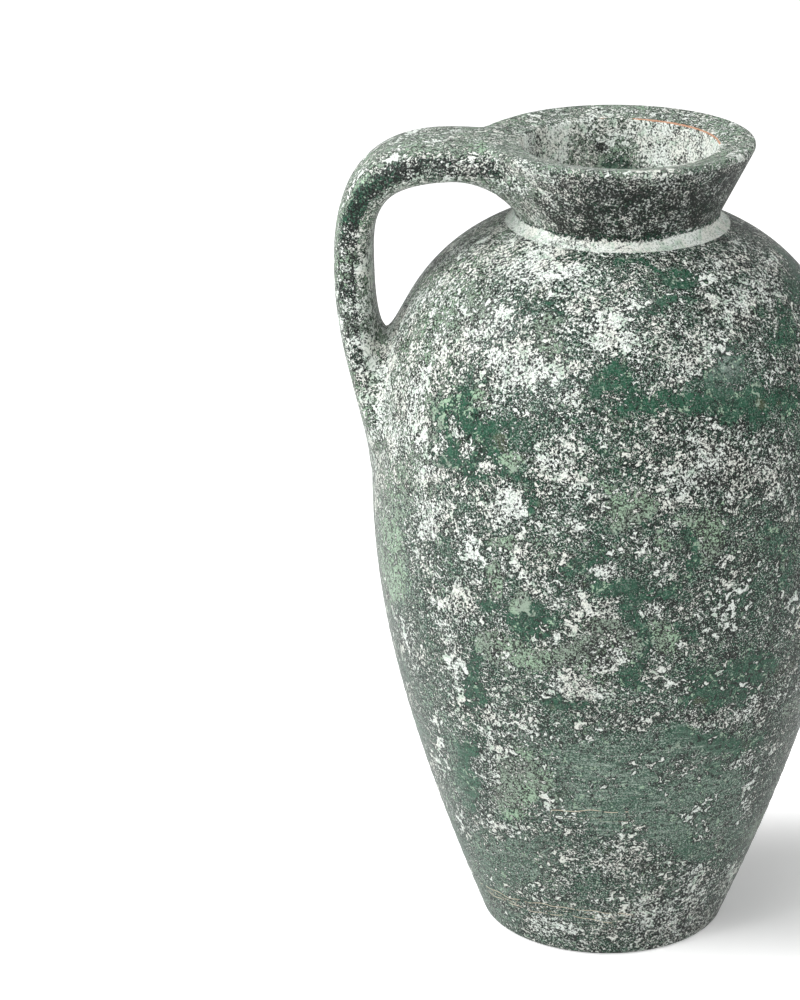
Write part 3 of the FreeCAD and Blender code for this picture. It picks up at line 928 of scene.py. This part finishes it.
# %% Paint the coil
def paint_coil(piece):
    """Coil: a pale line of slip with black pits along its lower side, greener and broken on
    the left, broad and clean on the right. Its upper side is speckled like the collar."""
    points = vertices(piece)
    angle, _ = polar(points)
    broken = np.exp(-((angle + 112) / 20) ** 2)
    clean = smooth_step(-70, -52, angle) * smooth_step(20, -20, angle)
    clean = np.maximum(clean, 0.5 * smooth_step(60, 45, abs(turned_from(angle, 180))))
    low = smooth_step(408.6 + 1.3 * clean, 407.4 + 1.3 * clean, points[:, 2])
    store(piece, points * (1, 1, 3), {
        "solid": 0.8 * (1 - low), "flake": 0.30 + (0.6 - 0.25 * broken) * low,
        "wash": 0.5 * broken * low, "still": 0 * low,
        "dark": 0.75 - 0.42 * low - 0.2 * clean, "bare": 0 * low})


paint_coil(coil_skin)

# %% Paint the handle
STRAP_DABS = [(name, (-146, -25, z), radius, target) for z in (383, 352, 318)
              for name, radius, target in (("wash", 11, 0.9), ("flake", 9, 0.35))]
STRAP_DABS += [("bare", (-103, -9, 451), 2.6, 1.0), ("bare", (-151, -22, 377), 2.4, 0.8)]


def paint_handle(piece):
    """Strap: strokes of wash run along its top, the sides are dark with a strong speckle, the
    side under the bend is solid green, and the inner face is grey. Small dabs of wash and two
    chips of bare clay sit on it."""
    points = vertices(piece)
    at, across, v, _ = strap_place(points)
    way = at / (len(spine) - 1)
    w, h = on_spine(at, half_width, half_thickness)
    top = smooth_step(0.25, 0.85, v / h) * smooth_step(1.05, 0.8, across / w)
    inner = smooth_step(-0.15, -0.42, v / h)
    side = 1 - top - inner
    bend = smooth_step(0.22, 0.27, way) * smooth_step(0.44, 0.38, way)
    down = smooth_step(0.42, 0.5, way)
    root = smooth_step(0.74, 0.82, way)
    line = np.exp(-((v / h + 0.2) / 0.13) ** 2) * down
    layers = {
        "solid": (top * (0.2 + 0.45 * root) + side * (0.5 + 0.5 * bend - 0.1 * down)
                  + inner * 0.15),
        "flake": top * (0.32 + 0.1 * down) + side * (0.47 - 0.37 * bend) + inner * 0.46,
        "wash": top * (0.62 - 0.4 * root) + inner * 0.55 + side * root * 0.6,
        "still": top * 0.9 * (1 - down) + inner * 0.9,
        "dark": (top * (0.16 + 0.25 * down) + side * (0.86 - 0.16 * down - 0.2 * root)
                 + inner * 0.2 + 0.3 * line),
        "bare": 0 * way}
    dab(layers, points, STRAP_DABS)
    store(piece, np.stack([at * SPINE_STEP * 0.5, across * 4, v * 4], axis=1), layers)


paint_handle(handle_skin)

# %% [markdown]
# ## The weathered glaze
#
# Four node groups do the fine work, and each gives only masks or colours:
#
# - `flaking` turns a density into crisp flakes and the dark edge round them
# - `pitting` gives small dark pits and worm-like cracks
# - `tint` picks the colours of the glaze and of the slip from the masks
# - `strokes` draws fine lines along the stroke coordinates
#
# The material mixes what they give, and adds the scratches, the bare clay and the bump.


# %% Short hand for node trees
class Wiring:
    """Each method adds one node, links or sets its inputs, and returns its output."""

    def __init__(self, tree):
        self.tree = tree

    def put(self, kind, inputs, out=0, **settings):
        node = self.tree.nodes.new("ShaderNode" + kind)
        for key, value in settings.items():
            setattr(node, key, value)
        for key, value in inputs.items():
            if isinstance(value, bpy.types.NodeSocket):
                self.tree.links.new(value, node.inputs[key])
            else:
                node.inputs[key].default_value = value
        return node.outputs[out]

    def math(self, operation, a, b=0.0, c=0.0):
        return self.put("Math", {0: a, 1: b, 2: c}, operation=operation)

    def sum(self, *terms):
        """Weighted sum of (output, weight) pairs and plain numbers."""
        total = sum(term for term in terms if not isinstance(term, tuple))
        for socket, weight in [term for term in terms if isinstance(term, tuple)]:
            total = self.math("MULTIPLY_ADD", socket, weight, total)
        return total

    def ramp(self, value, low, high, to_low=0.0, to_high=1.0):
        """Smooth step of a value from low to high, between two new values."""
        return self.put("MapRange", {0: value, 1: low, 2: high, 3: to_low, 4: to_high},
                        interpolation_type="SMOOTHSTEP")

    def times(self, *values):
        total = values[0]
        for value in values[1:]:
            total = self.math("MULTIPLY", total, value)
        return total

    def mix(self, factor, a, b):
        """Colour between a and b. The colours are written as sRGB numbers from 0 to 255."""
        a, b = [linear(c) if isinstance(c, tuple) else c for c in (a, b)]
        return self.put("Mix", {0: factor, 6: a, 7: b}, out=2, data_type="RGBA")

    def noise(self, place, size, detail=2.0, rough=0.5, twist=0.0, shift=0.0):
        """Fractal noise whose features are about size millimetres wide."""
        moved = self.put("VectorMath", {0: place, 1: (shift, -shift, 0.7 * shift)})
        return self.put("TexNoise", {
            "Vector": moved, "Scale": 1.0 / size, "Detail": detail, "Roughness": rough,
            "Distortion": twist})

    def cell(self, place, size):
        """A random value for each cell of a Voronoi pattern."""
        colour = self.put("TexVoronoi", {"Vector": place, "Scale": 1.0 / size}, out=1)
        return self.put("SeparateColor", {0: colour})


def linear(colour):
    """Linear colour of an sRGB colour: ((c + 0.055) / 1.055) ^ 2.4, for all but the darkest."""
    c = np.array(colour) / 255.0
    return tuple(np.where(c > 0.04045, ((c + 0.055) / 1.055) ** 2.4, c / 12.92)) + (1.0,)


def new_group(name, inputs, outputs):
    """An empty node group with its sockets: dictionaries of names and kinds. Returns the tree,
    the outputs of its input node by name, and its output node's inputs by name."""
    tree = bpy.data.node_groups.new(name, "ShaderNodeTree")
    for way, sockets in (("INPUT", inputs), ("OUTPUT", outputs)):
        for label, kind in sockets.items():
            tree.interface.new_socket(name=label, in_out=way, socket_type="NodeSocket" + kind)
    given, result = tree.nodes.new("NodeGroupInput"), tree.nodes.new("NodeGroupOutput")
    return tree, given.outputs, result.inputs


# %% Flakes and their dark edges
flaking, given, result = new_group("flaking", {"Place": "Vector", "Density": "Float"},
                                   {"Flake": "Float", "Edge": "Float"})
w, place, density = Wiring(flaking), given["Place"], given["Density"]
bent = w.put("TexNoise", {"Vector": place, "Scale": 0.8}, out=1)
twisted = w.put("VectorMath", {0: place, 1: bent})
level = w.sum((w.noise(place, 1.35, 3.0, 0.60, 0.7), 2.4), (w.cell(twisted, 1.8), 0.36),
              (w.noise(place, 12.0, 3.0, 0.6, 0.5, 31.0), 0.8), (density, 1.0), -2.28)
island = w.sum((w.noise(place, 3.9, 3.0, 0.55, 0.5, 67.0), 3.0),
               (w.noise(place, 21.0, 2.0, 0.5, 0.3, 83.0), 2.0), (density, 0.7), -3.12)
level = w.math("SMOOTH_MAX", level, island, 0.1)
flaking.links.new(w.ramp(level, -0.02, 0.05), result["Flake"])
flaking.links.new(w.ramp(level, -0.36, -0.10), result["Edge"])
print("flaking nodes", len(flaking.nodes))

# %% Pits and cracks
pitting, given, result = new_group("pitting", {"Place": "Vector", "Amount": "Float"},
                                   {"Pit": "Float", "Crack": "Float"})
w, place = Wiring(pitting), given["Place"]
level = w.sum((w.noise(place, 1.15, 1.5, 0.6, 0.4, 77.0), 2.4),
              (w.noise(place, 9.0, 2.0, 0.5, 0.0, 91.0), 0.9), (given["Amount"], 0.8), -2.31)
pitting.links.new(w.ramp(level, -0.02, 0.08), result["Pit"])
ridge = w.math("ABSOLUTE", w.sum((w.noise(place, 3.2, 2.0, 0.55, 1.4, 13.0), 1.0), -0.5))
pitting.links.new(w.ramp(ridge, 0.022, 0.006), result["Crack"])
print("pitting nodes", len(pitting.nodes))

# %% Fine lines along the strokes
strokes, given, result = new_group("strokes", {"Stroke": "Vector", "Amount": "Float"},
                                   {"Light": "Float", "Dark": "Float"})
w = Wiring(strokes)
line = w.noise(given["Stroke"], 8.0, 3.0, 0.65, 0.2, 5.0)
strokes.links.new(w.times(w.ramp(line, 0.53, 0.63), given["Amount"]), result["Light"])
strokes.links.new(w.times(w.ramp(line, 0.46, 0.37), given["Amount"]), result["Dark"])
print("stroke nodes", len(strokes.nodes))

# %% Colours of the glaze and of the slip
# All colours are sRGB numbers from 0 to 255
tint, given, result = new_group(
    "tint", {"Place": "Vector", "Solid": "Float", "Wash": "Float", "Still": "Float"},
    {"Glaze": "Color", "Slip": "Color"})
w, place = Wiring(tint), given["Place"]
patchy = w.noise(place, 26.0, 3.0, 0.55, 0.3, 3.0)
cloudy = w.noise(place, 6.0, 3.0, 0.6, 0.4, 7.0)
fine = w.noise(place, 1.3, 2.0, 0.6, 0.0, 11.0)
depth = w.ramp(w.sum((given["Solid"], 1.5), (patchy, 1.8), (cloudy, 1.6), (fine, 0.8),
                     (given["Still"], -0.45), (given["Wash"], -0.3), -1.75), -0.30, 0.5)
green = w.mix(w.ramp(cloudy, 0.35, 0.65), (26, 68, 50), (42, 92, 69))
brown = w.ramp(w.noise(place, 17.0, 2.0, 0.5, 0.0, 43.0), 0.63, 0.72, 0.0, 0.55)
green = w.mix(brown, green, (84, 78, 52))
sage = w.mix(w.ramp(fine, 0.38, 0.62), (52, 88, 70), (112, 140, 122))
glaze = w.mix(depth, sage, green)
glaze = w.mix(w.ramp(given["Still"], 0.1, 1.0, 0.0, 0.5), glaze, (86, 114, 98))
wash_level = w.sum((given["Wash"], 1.0), (w.noise(place, 4.5, 4.0, 0.65, 0.8, 19.0), 2.6),
                   (w.noise(place, 1.3, 1.0, 0.5, 0.0, 37.0), 0.8), -1.7)
pale = w.mix(w.ramp(patchy, 0.4, 0.6), (166, 196, 166), (158, 176, 158))
wash_mask = w.ramp(wash_level, 0.24, 0.36, 0.0, 0.92)
glaze = w.mix(wash_mask, glaze, pale)
speck = w.noise(place, 0.8, 1.0, 0.6, 0.0, 29.0)
wear = w.times(w.ramp(given["Solid"], 0.2, 0.8, 1.0, 0.2), w.ramp(wash_mask, 0, 1, 1.0, 0.35),
               w.ramp(given["Still"], 0.1, 1.0, 1.0, 0.6))
glaze = w.mix(w.times(w.ramp(speck, 0.52, 0.64), wear, 0.75), glaze, (212, 224, 214))
glaze = w.mix(w.times(w.ramp(speck, 0.50, 0.38), wear, 0.75), glaze, (12, 32, 22))
tint.links.new(glaze, result["Glaze"])
slip = w.mix(w.ramp(w.noise(place, 18.0, 2.0, 0.5, 0.0, 23.0), 0.42, 0.62),
             (237, 243, 237), (235, 237, 229))
slip = w.mix(w.ramp(cloudy, 0.52, 0.66, 0.0, 0.7), slip, (186, 208, 190))
slip = w.mix(w.ramp(fine, 0.32, 0.50, 0.8, 0.0), slip, (108, 130, 115))
tint.links.new(slip, result["Slip"])
print("tint nodes", len(tint.nodes))


# %% The material
def weathered(name, gloss, grain):
    """Glaze over slip, edged and pitted with dark, with bare clay where the layers say so. The
    grain scales every pattern: at 2 they are half as wide."""
    material = bpy.data.materials.new(name)
    material.use_nodes = True
    tree = material.node_tree
    w = Wiring(tree)

    def attribute(label, out=2):
        return w.put("Attribute", {}, out=out, attribute_name=label)

    def group(kind, out, **inputs):
        return w.put("Group", inputs, out=out, node_tree=kind)

    metres = w.put("TexCoord", {}, out="Object")
    place = w.put("VectorMath", {0: metres, "Scale": grain / MM}, operation="SCALE")
    layer = {label: attribute(label) for label in LAYERS}
    stroke = attribute("stroke", out=1)
    flake, edge = [group(flaking, k, Place=place, Density=layer["flake"]) for k in (0, 1)]
    pit, crack = [group(pitting, k, Place=place, Amount=layer["dark"]) for k in (0, 1)]
    light, shade = [group(strokes, k, Stroke=stroke, Amount=layer["still"]) for k in (0, 1)]
    glaze, slip = [group(tint, k, Place=place, Solid=layer["solid"], Wash=layer["wash"],
                         Still=layer["still"]) for k in (0, 1)]
    glaze = w.mix(w.times(light, 0.34), glaze, (190, 205, 193))
    glaze = w.mix(w.times(shade, 0.28), glaze, (44, 70, 58))
    glaze = w.mix(w.times(edge, 0.95), glaze, (6, 20, 13))
    colour = w.mix(flake, glaze, slip)
    colour = w.mix(w.times(crack, layer["dark"], 0.8), colour, (18, 26, 21))
    colour = w.mix(w.times(pit, 0.92), colour, (12, 18, 15))
    scratch = w.math("ABSOLUTE", attribute("scratch"))
    broken = w.ramp(w.noise(place, 7.0, 2.0, 0.6, 0.0, 47.0), 0.38, 0.46, 0.0, 0.8)
    colour = w.mix(w.times(w.ramp(scratch, 0.42, 0.12), broken), colour, (226, 212, 188))
    clay_level = w.sum((layer["bare"], 1.0), (w.noise(place, 2.5, 2.0, 0.6, 0.0, 61.0), 0.9), -0.45)
    colour = w.mix(w.ramp(clay_level, 0.40, 0.60), colour, (200, 152, 124))
    height = w.sum((flake, -0.7), (edge, -0.5), (pit, -0.8), (light, 0.2),
                   (w.noise(place, 0.9, 1.0, 0.6), 0.3))
    bump = w.put("Bump", {"Height": height, "Strength": 0.8, "Distance": 0.0004})
    shader = tree.nodes["Principled BSDF"]
    for key, value in {"Base Color": colour, "Normal": bump,
                       "Roughness": w.ramp(flake, 0.0, 1.0, gloss, 0.72)}.items():
        tree.links.new(value, shader.inputs[key])
    shader.inputs["Specular IOR Level"].default_value = 0.36
    return material


glazed = weathered("weathered_glaze", 0.25, 1.0)
speckled = weathered("speckled_glaze", 0.40, 1.15)
slipped = weathered("wiped_slip", 0.60, 1.3)
for skin in skins:
    skin.data.materials.append({coil_skin: slipped, collar_skin: speckled}.get(skin, glazed))
print("materials", [m.name for m in bpy.data.materials])

# %% [markdown]
# ## Floor, light and camera
#
# The pot stands in a white studio, and the camera looks down on it from the front. The world
# and the floor look nearly white to the camera, but light the pot much less. The floor's own
# glow, seen only by the camera, is painted light: it is weakest in a long patch to the right
# of the foot, so the pot's shadow shows there and is painted over further out. A strong soft
# box stands at the left, weaker ones at the front left, the front right and overhead, and two
# small ones are placed where the shoulder mirrors them, for the sheen on it.


# %% Floor
FLOOR_HALF = 6000.0
# Painted light: the camera sees the floor's glow weakest round this centre, in a patch drawn out
# along x, and the pot's shadow shows only there
GLOW_CENTRE = (0.076, 0.02, 0.0)
GLOW_SQUEEZE = (0.45, 1.0, 1.0)
GLOW_REACH = (0.045, 0.14)
GLOW_STRENGTH = (0.14, 0.68)


def camera_choice(w, others, seen):
    """One shader for the light that things get, and another for what the camera sees."""
    eye = w.put("LightPath", {}, out="Is Camera Ray")
    return w.put("MixShader", {0: eye, 1: others, 2: seen})


floor = make_object("studio_floor", FLOOR_HALF * np.array([
    (-1, -1, 0), (1, -1, 0), (1, 1, 0), (-1, 1, 0)]), [(0, 1, 2, 3)])
paper = bpy.data.materials.new("studio_paper")
paper.use_nodes = True
w = Wiring(paper.node_tree)
sheet = w.tree.nodes["Principled BSDF"]
sheet.inputs["Base Color"].default_value = (0.9, 0.9, 0.9, 1)
sheet.inputs["Roughness"].default_value = 0.9
# The glow, seen only by the camera, is painted light that covers the pot's shadow except near the
# glow centre
squeezed = w.put("VectorMath", {
    0: w.put("TexCoord", {}, out="Object"), 1: GLOW_SQUEEZE}, operation="MULTIPLY")
away = w.put("VectorMath", {0: squeezed, 1: GLOW_CENTRE}, out="Value", operation="DISTANCE")
glow = w.put("Emission", {"Strength": w.ramp(away, *GLOW_REACH, *GLOW_STRENGTH)})
none = w.put("Emission", {"Strength": 0.0})
lit = w.put("AddShader", {0: sheet.outputs[0], 1: camera_choice(w, none, glow)})
w.tree.links.new(lit, w.tree.nodes["Material Output"].inputs["Surface"])
floor.data.materials.append(paper)
print("floor", floor.name, "nodes", len(w.tree.nodes))

# %% World and lamps
AIM_HEIGHT = 0.26
world = bpy.data.worlds.new("studio")
world.use_nodes = True
bpy.context.scene.world = world
w = Wiring(world.node_tree)
sky, seen = [w.put("Background", {"Color": (1, 1, 1, 1), "Strength": strength})
             for strength in (0.38, 1.0)]
w.tree.links.new(camera_choice(w, sky, seen), w.tree.nodes["World Output"].inputs[0])


def softbox(name, azimuth, elevation, distance, size, power):
    """A square area lamp on a sphere round the belly, facing the pot."""
    aim = Vector((0.0, 0.0, AIM_HEIGHT))
    a, e = math.radians(azimuth), math.radians(elevation)
    away = Vector((math.cos(a) * math.cos(e), math.sin(a) * math.cos(e), math.sin(e)))
    lamp = bpy.data.lights.new(name, "AREA")
    lamp.shape = "SQUARE"
    lamp.size = size
    lamp.energy = power
    lamp_object = bpy.data.objects.new(name, lamp)
    lamp_object.location = aim + away * distance
    lamp_object.rotation_euler = away.to_track_quat("Z", "Y").to_euler()
    bpy.context.scene.collection.objects.link(lamp_object)


for name, *placed in (("key_light", -128, 31, 1.9, 0.9, 7.0),
                      ("left_light", -172, 38, 1.9, 0.8, 21),
                      ("side_light", -28, 31, 1.9, 0.8, 1.4),
                      ("top_light", -90, 78, 1.9, 0.9, 8),
                      ("left_glint", -128, 31, 1.8, 0.34, 5.5),
                      ("right_glint", -28, 31, 1.8, 0.26, 5.2)):
    softbox(name, *placed)
print("lamps", [lamp.name for lamp in bpy.data.lights])

# %% Camera
PAN, TILT = -0.067, 0.3615
camera_data = bpy.data.cameras.new("studio_camera")
camera_data.lens = 121.1
camera_data.sensor_width = 36.0
camera_data.clip_end = 50
camera = bpy.data.objects.new("studio_camera", camera_data)
forward = Vector((math.sin(PAN) * math.cos(TILT), math.cos(PAN) * math.cos(TILT), -math.sin(TILT)))
right = forward.cross(Vector((0, 0, 1))).normalized()
above = right.cross(forward)
turned = Matrix((right, above, -forward)).transposed().to_4x4()
camera.matrix_world = Matrix.Translation(Vector((0, -1.7304, 0.8977))) @ turned
bpy.context.scene.collection.objects.link(camera)
bpy.context.scene.camera = camera
bpy.context.scene.view_settings.view_transform = "Standard"
print("camera at", camera.matrix_world.translation)

# %% Which node each skin stands for
for skin, nodes in ((lower_skin, ["lower_body"]), (upper_skin, ["upper_body"]),
                    (collar_skin, ["neck"]), (coil_skin, ["neck_seam"]),
                    (handle_skin, ["handle", "handle_root_seam", "handle_top_seam"])):
    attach(skin, "root")
    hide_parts(*nodes)
